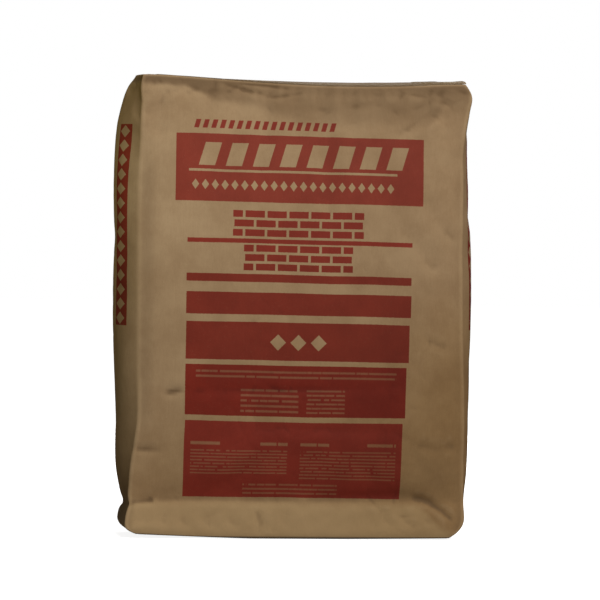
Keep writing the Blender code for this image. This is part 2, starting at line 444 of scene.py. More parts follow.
# The tube's own edges, creased flat at the paper mill, stand out down the middle of both sides.
side_ridge = np.exp(-np.abs(y) / 0.0035) * smooth_step(from_top, 0.03, 0.09)
push += 0.0006 * side_ridge * on_side * smooth_step(z, 0.03, 0.10)

# Everywhere the stiff paper breaks into faint flat facets rather than folds.
FACET_SIZE = 0.034
facets = np.empty(len(place))
for i, point in enumerate(place / FACET_SIZE):
    gaps = noise.voronoi((point[0], point[1] * 1.3, point[2]))[0]
    facets[i] = math.exp(-(((gaps[1] - gaps[0]) / 0.10) ** 2))
patchy = smooth_step(
    np.array([noise.noise((px * 9, py * 9, pz * 9 + 7)) for px, py, pz in place]), -0.05, 0.45
)
near_end = np.exp(-np.minimum(from_top, z) / 0.07)
push -= 0.00035 * facets * (0.22 + 0.6 * patchy + 0.08 * near_end)

at_walls = smooth_step(from_top, 0.0, 0.004) * smooth_step(z, 0.003, 0.009)
normals = point_array(paper, name="normal")
place = place + normals * (push * at_walls)[:, None]
paper.vertices.foreach_set("co", place.ravel())
paper.update()
print("push", np.percentile(push, [0, 5, 50, 95, 100]))


def node_group(name, inputs, outputs):
    """An empty shader node group with named inputs and outputs, and its input and output nodes."""
    group = bpy.data.node_groups.new(name, "ShaderNodeTree")
    for label, kind in inputs:
        group.interface.new_socket(label, in_out="INPUT", socket_type=f"NodeSocket{kind}")
    for label, kind in outputs:
        group.interface.new_socket(label, in_out="OUTPUT", socket_type=f"NodeSocket{kind}")
    return group, group.nodes.new("NodeGroupInput"), group.nodes.new("NodeGroupOutput")


def connect(tree, value, socket):
    """Feeds a socket from another one, or sets it to a number."""
    if isinstance(value, bpy.types.NodeSocket):
        tree.links.new(value, socket)
    else:
        socket.default_value = value


def sum_node(tree, operation, *values, clamp=False):
    """A Math node's result."""
    node = tree.nodes.new("ShaderNodeMath")
    node.operation = operation
    node.use_clamp = clamp
    for value, socket in zip(values, node.inputs):
        connect(tree, value, socket)
    return node.outputs[0]


def ramp_node(tree, value, start, end, low=0.0, high=1.0):
    """A smooth ramp of a value from start to end, to the numbers low and high."""
    node = tree.nodes.new("ShaderNodeMapRange")
    node.interpolation_type = "SMOOTHSTEP"
    for socket, number in zip(node.inputs, (value, start, end, low, high)):
        connect(tree, number, socket)
    return node.outputs["Result"]


def stretched(tree, vector, scale):
    """A vector multiplied by a scale along each axis."""
    node = tree.nodes.new("ShaderNodeVectorMath")
    node.operation = "MULTIPLY"
    connect(tree, vector, node.inputs[0])
    node.inputs[1].default_value = scale
    return node.outputs[0]


def noise_node(tree, vector, scale, detail=3.0, roughness=0.5):
    """A Noise Texture's value."""
    node = tree.nodes.new("ShaderNodeTexNoise")
    connect(tree, vector, node.inputs["Vector"])
    node.inputs["Scale"].default_value = scale
    node.inputs["Detail"].default_value = detail
    node.inputs["Roughness"].default_value = roughness
    return node.outputs["Fac"]


def mix_node(tree, share, first, second, blend="MIX"):
    """A colour mixed from two."""
    node = tree.nodes.new("ShaderNodeMix")
    node.data_type = "RGBA"
    node.blend_type = blend
    connect(tree, share, node.inputs[0])
    for value, socket in ((first, node.inputs[6]), (second, node.inputs[7])):
        connect(tree, value, socket)
    return node.outputs[2]


# Kraft paper shows its long brown fibres, which lie mostly up the tube, and the cloudy tone that
# the pulp dries to.
kraft_fibres, given, made = node_group(
    "kraft fibres",
    [("Vector", "Vector")],
    [("Tone", "Float"), ("Height", "Float")],
)
at = given.outputs["Vector"]
cloud = noise_node(kraft_fibres, at, 22.0, 5.0, 0.6)
streaks = noise_node(kraft_fibres, stretched(kraft_fibres, at, (1.0, 1.0, 0.16)), 520.0, 4.0, 0.65)
flecks = noise_node(kraft_fibres, stretched(kraft_fibres, at, (1.0, 1.0, 0.45)), 1600.0, 2.0, 0.6)
tone = sum_node(kraft_fibres, "MULTIPLY", cloud, 0.60)
tone = sum_node(kraft_fibres, "MULTIPLY_ADD", streaks, 0.18, tone)
tone = sum_node(kraft_fibres, "MULTIPLY_ADD", flecks, 0.22, tone)
connect(kraft_fibres, tone, made.inputs["Tone"])
height = sum_node(kraft_fibres, "MULTIPLY", streaks, 0.5)
height = sum_node(kraft_fibres, "MULTIPLY_ADD", flecks, 0.5, height)
connect(kraft_fibres, height, made.inputs["Height"])

# Cement dust clings to what faces up and to the folds round the valve.
cement_dust, given, made = node_group(
    "cement dust",
    [("Vector", "Vector"), ("Amount", "Float")],
    [("Mask", "Float")],
)
at = given.outputs["Vector"]
drift = noise_node(cement_dust, at, 38.0, 6.0, 0.7)
grains = noise_node(cement_dust, at, 900.0, 2.0, 0.6)
thick = sum_node(cement_dust, "MULTIPLY_ADD", grains, 0.45, drift)
start = sum_node(cement_dust, "SUBTRACT", 1.05, given.outputs["Amount"])
over = sum_node(cement_dust, "SUBTRACT", thick, start)
mask = ramp_node(cement_dust, over, -0.10, 0.35)
connect(cement_dust, mask, made.inputs["Mask"])

# The print is one dull red, with the kraft left bare where marks are knocked out of it. The
# marks are plain ones: leaning bars, lozenges, brick courses and ruled lines.
printed_panel, given, made = node_group(
    "printed panel",
    [("Vector", "Vector")],
    [("Ink", "Float")],
)
EDGE_SOFTNESS = 0.0004
fuzz = printed_panel.nodes.new("ShaderNodeTexNoise")
fuzz.inputs["Scale"].default_value = 600.0
fuzz.inputs["Detail"].default_value = 1.0
connect(printed_panel, given.outputs["Vector"], fuzz.inputs["Vector"])
shifted = printed_panel.nodes.new("ShaderNodeVectorMath")
shifted.operation = "MULTIPLY_ADD"
connect(printed_panel, fuzz.outputs["Color"], shifted.inputs[0])
shifted.inputs[1].default_value = (0.0006, 0.0006, 0.0)
connect(printed_panel, given.outputs["Vector"], shifted.inputs[2])
parts = printed_panel.nodes.new("ShaderNodeSeparateXYZ")
connect(printed_panel, shifted.outputs[0], parts.inputs[0])
round_back = sum_node(printed_panel, "GREATER_THAN", parts.outputs["X"], BACK_FIELD - 0.26)
PRINT_X = sum_node(printed_panel, "SUBTRACT", parts.outputs["X"], round_back)
PRINT_SLOPE = 0.0075
PRINT_WANDER = 0.0022
sloped = sum_node(printed_panel, "MULTIPLY_ADD", PRINT_X, PRINT_SLOPE, parts.outputs["Y"])
wander = noise_node(printed_panel, given.outputs["Vector"], 9.0, 1.0)
wander = sum_node(printed_panel, "SUBTRACT", wander, 0.5)
PRINT_Z = sum_node(printed_panel, "MULTIPLY_ADD", wander, PRINT_WANDER, sloped)


def p(operation, *values):
    return sum_node(printed_panel, operation, *values)


def band(value, low, high, softness=EDGE_SOFTNESS):
    """1 between two values, 0 outside them."""
    middle, half = (low + high) / 2, (high - low) / 2
    away = p("ABSOLUTE", p("SUBTRACT", value, middle))
    return ramp_node(printed_panel, away, half + softness, half - softness)


def block(left, right, bottom, top):
    """1 inside a rectangle on the paper."""
    return p("MULTIPLY", band(PRINT_X, left, right), band(PRINT_Z, bottom, top))


def repeated(value, first, pitch):
    """How far a value is from the middle of its cell, in cells of one pitch from first on."""
    cell = p("FRACT", p("DIVIDE", p("SUBTRACT", value, first), pitch))
    return p("MULTIPLY", p("ABSOLUTE", p("SUBTRACT", cell, 0.5)), pitch)


def lozenges(left, right, bottom, top, count, share=0.78):
    """A row of plain lozenges."""
    pitch = (right - left) / count
    across = p("DIVIDE", repeated(PRINT_X, left, pitch), pitch * share / 2)
    up = p("DIVIDE", p("ABSOLUTE", p("SUBTRACT", PRINT_Z, (bottom + top) / 2)), (top - bottom) / 2)
    inside = ramp_node(printed_panel, p("ADD", across, up), 1.03, 0.97)
    return p("MULTIPLY", inside, block(left, right, bottom, top))


def slanted(left, right, bottom, top, count, share=0.6, lean=0.30):
    """A row of plain leaning bars."""
    pitch = (right - left - lean * (top - bottom)) / count
    upright = p("MULTIPLY_ADD", p("SUBTRACT", PRINT_Z, bottom), -lean, PRINT_X)
    half = pitch * share / 2
    away = repeated(upright, left, pitch)
    bars = ramp_node(printed_panel, away, half + EDGE_SOFTNESS, half - EDGE_SOFTNESS)
    row = band(upright, left, left + pitch * count)
    return p("MULTIPLY", bars, p("MULTIPLY", row, band(PRINT_Z, bottom, top)))


def courses(left, right, bottom, top, count, brick, joint=0.0032):
    """Courses of plain bricks in running bond."""
    pitch = (top - bottom + joint) / count
    row = p("FLOOR", p("DIVIDE", p("SUBTRACT", PRINT_Z, bottom - joint / 2), pitch))
    odd = p("MULTIPLY", p("MODULO", row, 2.0), brick / 2)
    x_from = p("SUBTRACT", p("ADD", PRINT_X, odd), left - brick / 2)
    end_gap = p("SUBTRACT", brick / 2, repeated(x_from, 0.0, brick))
    bed_gap = p("SUBTRACT", pitch / 2, repeated(PRINT_Z, bottom - joint / 2, pitch))
    clear = p("MINIMUM", end_gap, bed_gap)
    inside = ramp_node(
        printed_panel, clear, joint / 2 - EDGE_SOFTNESS / 2, joint / 2 + EDGE_SOFTNESS / 2
    )
    return p("MULTIPLY", inside, block(left, right, bottom, top))


def ruled(left, right, bottom, top, count, weight=0.42, strength=0.32):
    """Fine ruled lines, broken into uneven lengths."""
    pitch = (top - bottom) / count
    away = repeated(PRINT_Z, bottom, pitch)
    lines = ramp_node(printed_panel, away, pitch * (weight / 2 + 0.12), pitch * (weight / 2 - 0.12))
    row = p("FLOOR", p("DIVIDE", p("SUBTRACT", PRINT_Z, bottom), pitch))
    spot = printed_panel.nodes.new("ShaderNodeCombineXYZ")
    connect(printed_panel, PRINT_X, spot.inputs[0])
    connect(printed_panel, p("MULTIPLY", row, 0.37), spot.inputs[1])
    breaks = noise_node(printed_panel, spot.outputs[0], 240.0, 0.0)
    unbroken = ramp_node(printed_panel, breaks, 0.27, 0.38)
    marks = p("MULTIPLY", p("MULTIPLY", lines, unbroken), block(left, right, bottom, top))
    return p("MULTIPLY", marks, strength)


def joined(masks):
    """The most of several masks at each place."""
    total = masks[0]
    for mask in masks[1:]:
        total = p("MAXIMUM", total, mask)
    return total


SIDE_COLUMN = (0.0125, 0.0345)
SIDE_COLUMN_ENDS = (0.262, 0.510)
SIDE_LOZENGE = (0.0085, 0.0076)
SIDE_LOZENGES = 14
RIGHT_COLUMN_SHIFT = 0.0065


def side_columns():
    """Two red columns up each side, with plain lozenges knocked out of them."""
    out = p("ABSOLUTE", p("SUBTRACT", p("ABSOLUTE", PRINT_X), SIDE_FIELD))
    out = p("MULTIPLY_ADD", p("GREATER_THAN", PRINT_X, 0.0), RIGHT_COLUMN_SHIFT, out)
    inner, outer = SIDE_COLUMN
    low, high = SIDE_COLUMN_ENDS
    half_width, half_height = SIDE_LOZENGE
    ink = p("MULTIPLY", band(out, inner, outer), band(parts.outputs["Y"], low, high))
    along = repeated(parts.outputs["Y"], low, (high - low) / SIDE_LOZENGES)
    middle = inner + 0.0015 + half_width
    across = p("DIVIDE", p("ABSOLUTE", p("SUBTRACT", out, middle)), half_width)
    gaps = ramp_node(printed_panel, p("ADD", across, p("DIVIDE", along, half_height)), 1.03, 0.97)
    return p("MULTIPLY", ink, p("SUBTRACT", 1.0, gaps))


red = joined(
    [
        slanted(-0.136, 0.046, 0.5060, 0.5165, 17, 0.56),
        p("MULTIPLY", block(-0.155, 0.153, 0.4168, 0.4992), 0.96),
        courses(-0.084, 0.079, 0.3745, 0.4065, 3, 0.0272),
        block(-0.1395, 0.1402, 0.3660, 0.3715),
        courses(-0.070, 0.066, 0.3325, 0.3640, 3, 0.0272),
        block(-0.1398, 0.1397, 0.3184, 0.3282),
        block(-0.1395, 0.1402, 0.2785, 0.3057),
        block(-0.1390, 0.1390, 0.2223, 0.2693),
        block(-0.1389, 0.1363, 0.1530, 0.2161),
        p("MULTIPLY", block(-0.1382, 0.1335, 0.0515, 0.1462), 0.97),
        side_columns(),
    ]
)
bare = joined(
    [
        slanted(-0.134, 0.141, 0.4605, 0.4885, 8, 0.60),
        block(-0.139, 0.120, 0.4530, 0.4560),
        lozenges(-0.137, 0.118, 0.4310, 0.4435, 21, 0.74),
        lozenges(-0.038, 0.038, 0.2345, 0.2545, 3),
        ruled(-0.126, 0.124, 0.1985, 0.2110, 2),
        ruled(-0.070, 0.002, 0.1560, 0.1880, 5),
        ruled(0.012, 0.060, 0.1560, 0.1880, 6),
        ruled(-0.130, -0.094, 0.1150, 0.1225, 1, 0.5, 0.5),
        ruled(-0.044, -0.010, 0.1150, 0.1225, 1, 0.5, 0.5),
        ruled(0.006, 0.042, 0.1150, 0.1225, 1, 0.5, 0.5),
        ruled(0.090, 0.126, 0.1150, 0.1225, 1, 0.5, 0.5),
        ruled(-0.130, -0.010, 0.0800, 0.1120, 8),
        ruled(0.006, 0.126, 0.0740, 0.1120, 9),
        ruled(-0.064, 0.054, 0.0540, 0.0700, 3),
    ]
)
connect(printed_panel, p("MULTIPLY", red, p("SUBTRACT", 1.0, bare)), made.inputs["Ink"])

# The kraft itself, with the ink worn where the paper folds. Its colour also holds painted shade: in its
# hollows, under the top edge, low on the walls, towards the bottom and the right, and a painted contact
# shadow at the very foot. Painted light lifts the upper left of the front, and the foot band is paler
# with cement dust and with painted light.
KRAFT_DARK = (0.374, 0.242, 0.126, 1.0)
KRAFT_PALE = (0.468, 0.318, 0.174, 1.0)
RIGHT_SHADE_TINT = (0.84, 0.83, 0.83, 1.0)
RUBBED_KRAFT = (0.52, 0.37, 0.21, 1.0)
PAINTED_SHADE_KRAFT = (0.16, 0.095, 0.045, 1.0)
LOW_LEFT_SHADE_TINT = (0.84, 0.79, 0.71, 1.0)
LOW_RIGHT_SHADE_TINT = (0.75, 0.68, 0.54, 1.0)
LEFT_LIGHT_TINT = (1.15, 1.18, 1.22, 1.0)
DUST_AND_LIGHT_FOOT = (0.50, 0.350, 0.175, 1.0)
CONTACT_SHADOW_TINT = (0.035, 0.026, 0.022, 1.0)
INK_TINT = (0.54, 0.096, 0.080, 1.0)
FRESH_INK = (0.62, 0.104, 0.096, 1.0)
DEEP_INK = (0.54, 0.070, 0.054, 1.0)
FOOT_INK = (0.64, 0.080, 0.080, 1.0)
CEMENT = (0.46, 0.445, 0.415, 1.0)


def fibre_paper(name, dark, pale, bump):
    """A new kraft material: its tree and shader, the object's own coordinates and its colour."""
    material = bpy.data.materials.new(name)
    material.use_nodes = True
    tree = material.node_tree
    shader = tree.nodes["Principled BSDF"]
    shader.inputs["Specular IOR Level"].default_value = 0.25
    shader.inputs["Roughness"].default_value = 0.86
    position = tree.nodes.new("ShaderNodeTexCoord").outputs["Object"]
    fibres = tree.nodes.new("ShaderNodeGroup")
    fibres.node_tree = kraft_fibres
    connect(tree, position, fibres.inputs["Vector"])
    colour = mix_node(tree, ramp_node(tree, fibres.outputs["Tone"], 0.34, 0.66), dark, pale)
    relief = tree.nodes.new("ShaderNodeBump")
    relief.inputs["Distance"].default_value = bump
    relief.inputs["Strength"].default_value = 0.5
    connect(tree, fibres.outputs["Height"], relief.inputs["Height"])
    connect(tree, relief.outputs["Normal"], shader.inputs["Normal"])
    return material, shader, position, colour


def dusted(tree, position, colour, amount):
    """A colour with cement dust on it."""
    dust = tree.nodes.new("ShaderNodeGroup")
    dust.node_tree = cement_dust
    connect(tree, position, dust.inputs["Vector"])
    connect(tree, amount, dust.inputs["Amount"])
    return mix_node(tree, dust.outputs["Mask"], colour, CEMENT)


def plain_paper(name, dark, pale, dusty=0.12):
    """Kraft with no print, a little dusty."""
    material, shader, position, colour = fibre_paper(name, dark, pale, 0.0002)
    tree = material.node_tree
    connect(tree, dusted(tree, position, colour, dusty), shader.inputs["Base Color"])
    return material


kraft, shader, position, colour = fibre_paper("kraft_paper", KRAFT_DARK, KRAFT_PALE, 0.00022)
tree = kraft.node_tree
at = tree.nodes.new("ShaderNodeSeparateXYZ")
connect(tree, position, at.inputs[0])
patches = noise_node(tree, position, 6.0, 4.0, 0.6)
# Painted shade: the kraft darkens towards the bottom in cloudy patches, and more towards the right.
height = sum_node(tree, "MULTIPLY_ADD", patches, 0.16, at.outputs["Z"])
height = sum_node(tree, "MULTIPLY_ADD", at.outputs["X"], -0.35, height)
painted_low_shade = ramp_node(tree, height, 0.38, 0.16)
# Painted shade: the kraft is made darker towards the right.
painted_right_shade = ramp_node(tree, at.outputs["X"], -0.20, 0.20)
colour = mix_node(tree, painted_right_shade, colour, mix_node(tree, 1.0, colour, RIGHT_SHADE_TINT, "MULTIPLY"))
shade_tint_left_to_right = mix_node(tree, ramp_node(tree, at.outputs["X"], -0.02, 0.18), LOW_LEFT_SHADE_TINT, LOW_RIGHT_SHADE_TINT)
colour = mix_node(tree, painted_low_shade, colour, mix_node(tree, 1.0, colour, shade_tint_left_to_right, "MULTIPLY"))
# Painted light: the upper left of the front is made paler.
painted_left_light = sum_node(
    tree,
    "MULTIPLY",
    ramp_node(tree, at.outputs["Z"], 0.32, 0.41),
    ramp_node(tree, at.outputs["Z"], 0.53, 0.45),
)
painted_left_light = sum_node(tree, "MULTIPLY", painted_left_light, ramp_node(tree, at.outputs["X"], -0.06, -0.15))
colour = mix_node(tree, painted_left_light, colour, mix_node(tree, 1.0, colour, LEFT_LIGHT_TINT, "MULTIPLY"))
# The foot band is paler: partly cement dust, partly painted light where the foot turns up to the light.
drift = noise_node(tree, position, 14.0, 3.0, 0.6)
foot_line = sum_node(tree, "MULTIPLY_ADD", drift, 0.02, at.outputs["Z"])
corner = ramp_node(tree, at.outputs["X"], 0.150, 0.200, 0.0, 0.034)
foot_line = sum_node(tree, "ADD", foot_line, corner)
dusty_lit_foot = ramp_node(tree, foot_line, 0.062, 0.048)
dusty_lit_foot = sum_node(tree, "MULTIPLY", dusty_lit_foot, ramp_node(tree, at.outputs["X"], -0.05, 0.15, 0.42, 0.36))
colour = mix_node(tree, dusty_lit_foot, colour, DUST_AND_LIGHT_FOOT)
ruled_paper = tree.nodes.new("ShaderNodeUVMap")
ruled_paper.uv_map = "flat_paper"
panel = tree.nodes.new("ShaderNodeGroup")
panel.node_tree = printed_panel
connect(tree, ruled_paper.outputs["UV"], panel.inputs["Vector"])
mottle = ramp_node(tree, noise_node(tree, position, 700.0, 3.0, 0.7), 0.25, 0.42, 0.86, 1.0)
ink = sum_node(tree, "MULTIPLY", panel.outputs["Ink"], mottle)
worn = tree.nodes.new("ShaderNodeAttribute")
worn.attribute_name = "rubbed"
# The hollow attribute holds painted shade: in the hollows, under the top edge, low on the walls and along
# the front folds.
painted_shade_attribute = tree.nodes.new("ShaderNodeAttribute")
painted_shade_attribute.attribute_name = "hollow"
rub = sum_node(tree, "MULTIPLY", worn.outputs["Fac"], noise_node(tree, position, 160.0, 4.0, 0.7))
ink = sum_node(tree, "MULTIPLY", ink, ramp_node(tree, rub, 0.25, 0.65, 1.0, 0.45))
colour = mix_node(tree, sum_node(tree, "MULTIPLY", rub, 0.5), colour, RUBBED_KRAFT)
painted_shade_share = sum_node(tree, "MULTIPLY", painted_shade_attribute.outputs["Fac"], 0.62)
colour = mix_node(tree, painted_shade_share, colour, PAINTED_SHADE_KRAFT)
tint = mix_node(tree, ramp_node(tree, at.outputs["Z"], 0.33, 0.36), INK_TINT, FRESH_INK)
tint = mix_node(tree, ramp_node(tree, at.outputs["Z"], 0.2222, 0.2172), tint, DEEP_INK)
tint = mix_node(tree, ramp_node(tree, at.outputs["Z"], 0.152, 0.144), tint, FOOT_INK)
colour = mix_node(tree, ink, colour, mix_node(tree, 1.0, colour, tint, "MULTIPLY"))
# Painted contact shadow: the lowest few millimetres of the walls are made nearly black.
painted_contact_shadow = ramp_node(tree, at.outputs["Z"], 0.0045, 0.0022, 0.0, 0.8)
colour = mix_node(tree, painted_contact_shadow, colour, CONTACT_SHADOW_TINT)
on_top = ramp_node(tree, at.outputs["Z"], 0.562, 0.573, 0.0, 0.16)
connect(tree, dusted(tree, position, colour, on_top), shader.inputs["Base Color"])
connect(tree, ramp_node(tree, ink, 0.0, 1.0, 0.86, 0.72), shader.inputs["Roughness"])
paper.materials.append(kraft)

# Folds that stand out are rubbed pale, and the hollows are painted with shade: both are read from
# the bend of the finished paper.
place = point_array(paper)
normals = point_array(paper, name="normal")
bend = ((place - evened(place, paper, 2)) * normals).sum(1) / 0.0001
bend = evened(bend[:, None], paper, 1)[:, 0]
# Painted shade under the top edge: a dark band, strongest at the left, and a soft haze below it in the
# middle.
rim_reach = 0.008 + 0.020 * smooth_step(x, -0.15, -0.10) + 0.022 * smooth_step(x, -0.07, 0.01)
rim_reach -= 0.026 * smooth_step(x, 0.160, 0.185)
rim_level = 1.30 - 0.35 * smooth_step(x, -0.13, -0.09) - 0.52 * smooth_step(x, -0.085, -0.045)
rim_level += 0.28 * smooth_step(x, 0.14, 0.18)
rim_edge = 0.003 + 0.15 * rim_reach
rim_painted_shade = 1 - smooth_step(from_top + 0.006 * wobble, rim_reach - rim_edge, rim_reach + rim_edge)
rim_painted_shade *= rim_level * (1 + 0.3 * wobble)
rim_shade_haze = smooth_step(x, -0.08, -0.03) * (1 - smooth_step(from_top, 0.030, 0.058))
rim_painted_shade += 0.38 * rim_shade_haze * (1 - 0.5 * smooth_step(x, 0.15, 0.19))
# Painted shade low on both sides, low on the right of the front and along both front folds.
wall_painted_shade = 0.8 * np.exp(-(((z - 0.025) / 0.030) ** 2)) * on_side * (1 + 0.5 * wobble)
low_right = np.exp(-(((z - 0.083) / 0.030) ** 2)) * smooth_step(x, 0.12, 0.19)
fold_painted_shade = 0.45 * np.exp(-(((x + 0.189) / 0.010) ** 2)) * smooth_step(z, 0.10, 0.16)
fold_painted_shade += 0.28 * np.exp(-(((x - 0.207) / 0.010) ** 2)) * smooth_step(z, 0.12, 0.20)
fold_painted_shade *= on_front * (1 - smooth_step(z, 0.44, 0.49))
wall_painted_shade += 0.25 * low_right * on_front + fold_painted_shade
# Painted shade in the hollows, a little lighter on the folds that stand out.
hollow_painted_shade = np.maximum(-bend * 0.9 - 0.25, 0.0) - 0.3 * np.maximum(bend, 0.0)
worn_folds = np.clip(bend * 0.9 - 0.25, 0.0, 1.0) * smooth_step(from_top, 0.002, 0.014)
for name, amount in (
    ("rubbed", worn_folds),
    ("hollow", np.clip(hollow_painted_shade + rim_painted_shade + wall_painted_shade, 0.0, 1.4)),
):
    layer = paper.attributes.new(name, "FLOAT", "POINT")
    layer.data.foreach_set("value", amount)
print("bend", np.percentile(bend, [1, 5, 50, 95, 99]))
paper.shade_smooth()
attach(sack, "root")
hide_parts("paper_sack")


# The folded flaps. Both ends of the tube are folded like a parcel: a pointed flap from each side,
# and then the long flaps of the front and back over them. The long flaps' slanted edges still show
# at the four corners of each end.
FLAP_PLY = 0.0003
FLAP_REACH = 0.92
FLAP_SLANT = 0.245
EDGE_INSET = 0.985
TUCKED = -0.0004

plain_kraft = plain_paper("plain_kraft", (0.245, 0.158, 0.080, 1.0), (0.31, 0.208, 0.112, 1.0))


def end_place(face_share, depth_share, side, lift):
    """A place over the top end or under the bottom one, from its shares of the end."""
    at = sack_point(face_share, depth_share, side)
    return Vector((at.x - middle[0], at.y - middle[1], at.z + side * lift))


def sheet_grid(columns, rows):
    """A square sheet of paper, 0 to 1 each way, in a bmesh."""
    made = bmesh.new()
    bmesh.ops.create_grid(made, x_segments=columns, y_segments=rows, size=0.5)
    bmesh.ops.translate(made, verts=made.verts, vec=(0.5, 0.5, 0.0))
    return made


def paper_piece(name, made, material):
    """Turns a bmesh into a finished piece that rides on the bag."""
    mesh = bpy.data.meshes.new(name)
    bmesh.ops.recalc_face_normals(made, faces=made.faces)
    made.to_mesh(mesh)
    made.free()
    mesh.shade_smooth()
    mesh.set_sharp_from_angle(angle=math.radians(40))
    mesh.materials.append(material)
    piece = bpy.data.objects.new(name, mesh)
    bpy.context.scene.collection.objects.link(piece)
    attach(piece, "root")
    return piece


def laid_sheet(name, made, place, ply, material):
    """A sheet whose place(u, v, lift) is its under side at lift 0, and its outer side at its ply."""
    under = {vert: vert.co.copy() for vert in made.verts}
    outer = bmesh.ops.extrude_face_region(made, geom=made.faces[:])["geom"]
    raised = [part for part in outer if isinstance(part, bmesh.types.BMVert)]
    for vert in raised:
        vert.co = place(vert.co.x, vert.co.y, ply)
    for vert, flat in under.items():
        vert.co = place(flat.x, flat.y, 0.0)
    return paper_piece(name, made, material)


def flap_place(side, long_side):
    """Where a long flap's sheet lies: u along the end, v from its fold inward."""

    def place(u, v, height):
        reach = 1 - FLAP_SLANT * v
        depth_share = long_side * (EDGE_INSET - FLAP_REACH * v)
        lift = TUCKED + (0.00003 - TUCKED) * float(smooth_step(v, 0.0, 0.10))
        face_share = (2 * u - 1) * reach * EDGE_INSET
        return end_place(face_share, depth_share, side, lift + height)

    return place


for end_name, side in (("top", 1), ("bottom", -1)):
    for wall_name, long_side in (("front", -1), ("back", 1)):
        laid_sheet(
            f"{end_name}_{wall_name}_flap",
            sheet_grid(100, 12),
            flap_place(side, long_side),
            FLAP_PLY,
            plain_kraft,
        )

# The seam of the tube. Its outer edge is pasted over the inner one, up the back of the bag.
SEAM_FROM = 0.190
SEAM_WIDTH = -0.031
SEAM_PLY = 0.00035
SEAM_ENDS = (0.004, 0.5655)
sack_surface = BVHTree.FromPolygons(
    [v.co for v in paper.vertices], [f.vertices[:] for f in paper.polygons]
)


def seam_place(u, v, height):
    """The seam's sheet: u from its tucked edge to its open one, v up the back."""
    wander = 0.0008 * noise.noise((v * 6, 0.0, 2.0))
    x = SEAM_FROM + SEAM_WIDTH * u + wander
    z = SEAM_ENDS[0] + (SEAM_ENDS[1] - SEAM_ENDS[0]) * v
    hit = sack_surface.ray_cast(Vector((x, 1.0, z)), Vector((0, -1, 0)))[0]
    lift = TUCKED + (0.00005 - TUCKED) * float(smooth_step(u, 0.0, 0.35))
    return hit + Vector((0, lift + height, 0))


laid_sheet("back_seam", sheet_grid(12, 150), seam_place, SEAM_PLY, plain_kraft)


# The valve sleeve. A short flattened tube of smooth pale kraft, through which the powder was
# blown in. It lies in the right end of the top, and its mouth is at the edge.
SLEEVE_FROM = 0.728
SLEEVE_TO = 1.012
SLEEVE_HALF_WIDTH = 0.60
SLEEVE_LIFT = 0.00037
SLEEVE_HEIGHT = 0.0010
SLEEVE_GAPE = 0.0017
SLEEVE_WALL = 0.00028

tube = bmesh.new()
bmesh.ops.create_cone(tube, segments=64, radius1=1.0, radius2=1.0, depth=2.0)
lengthwise = [e for e in tube.edges if abs(e.verts[0].co.z - e.verts[1].co.z) > 1.9]
bmesh.ops.subdivide_edges(tube, edges=lengthwise, cuts=23)
for vert in tube.verts:
    along = (vert.co.z + 1) / 2
    gape = SLEEVE_GAPE * float(smooth_step(along, 0.80, 1.0)) * max(1 - vert.co.x**2, 0.0)
    face_share = SLEEVE_FROM + (SLEEVE_TO - SLEEVE_FROM) * along
    ripple = 0.00018 * noise.noise((face_share * 24, vert.co.x * 2.0, 5.0))
    half_height = SLEEVE_HEIGHT / 2 * min(1.0, 6 * (1 - abs(vert.co.x))) ** 0.5
    up = SLEEVE_LIFT + SLEEVE_HEIGHT / 2 + half_height * max(-1.0, min(1.0, vert.co.y * 6))
    if vert.co.y > 0:
        up += gape + ripple
    vert.co = end_place(face_share, vert.co.x * SLEEVE_HALF_WIDTH, 1, up)
# The sleeve's paper is painted darker than the sack's kraft, as painted shade on the top end.
sleeve = paper_piece(
    "flat_valve_sleeve",
    tube,
    plain_paper("sleeve_paper", (0.32, 0.225, 0.125, 1.0), (0.42, 0.305, 0.185, 1.0), dusty=0.26),
)
wall = sleeve.modifiers.new("wall", "SOLIDIFY")
wall.thickness = SLEEVE_WALL
wall.offset = -1.0
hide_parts("valve_sleeve")


# The cover strips. One is pasted over the folded flaps of each end, and the top one rises at its
# right end over the valve sleeve.
STRIP_PLY = 0.00042
STRIP_LIFT = 0.00035
STRIP_DEPTH = 0.79
STRIP_LEFT = -0.905
STRIP_RIGHT = 0.905
VALVE_STRIP_RIGHT = 0.872
SLEEVE_RISE = (SLEEVE_FROM - 0.03, SLEEVE_FROM + 0.005)
# The strips' paper is painted darker than the sack's kraft, as painted shade on the ends.
strip_paper = plain_paper("strip_paper", (0.235, 0.157, 0.080, 1.0), (0.32, 0.217, 0.117, 1.0), 0.14)


def strip_place(side, right_end):
    """Where a strip's sheet lies: u along the end and v across it."""

    def place(u, v, height):
        ragged = 0.0022 * noise.noise((u * 9, round(v) * 5.0, side * 3.0))
        face_share = STRIP_LEFT + (right_end - STRIP_LEFT) * u
        depth_share = (2 * v - 1) * STRIP_DEPTH + ragged
        lift = STRIP_LIFT
        if side > 0:
            over = smooth_step(face_share, *SLEEVE_RISE)
            beside = 1 - smooth_step(abs(depth_share), SLEEVE_HALF_WIDTH, SLEEVE_HALF_WIDTH + 0.10)
            lift += (SLEEVE_HEIGHT + 0.0001) * float(over * beside)
            lift += 0.00022 * (1 + noise.noise((face_share * 7, depth_share * 1.3, 1.0)))
        return end_place(face_share, depth_share, side, lift + height)

    return place


for node, side, right_end in (
    ("bottom_cover_strip", -1, STRIP_RIGHT),
    ("top_cover_strip", 1, VALVE_STRIP_RIGHT),
):
    strip = laid_sheet(
        f"pasted_{node}",
        sheet_grid(150, 30),
        strip_place(side, right_end),
        STRIP_PLY,
        strip_paper,
    )
    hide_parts(node)


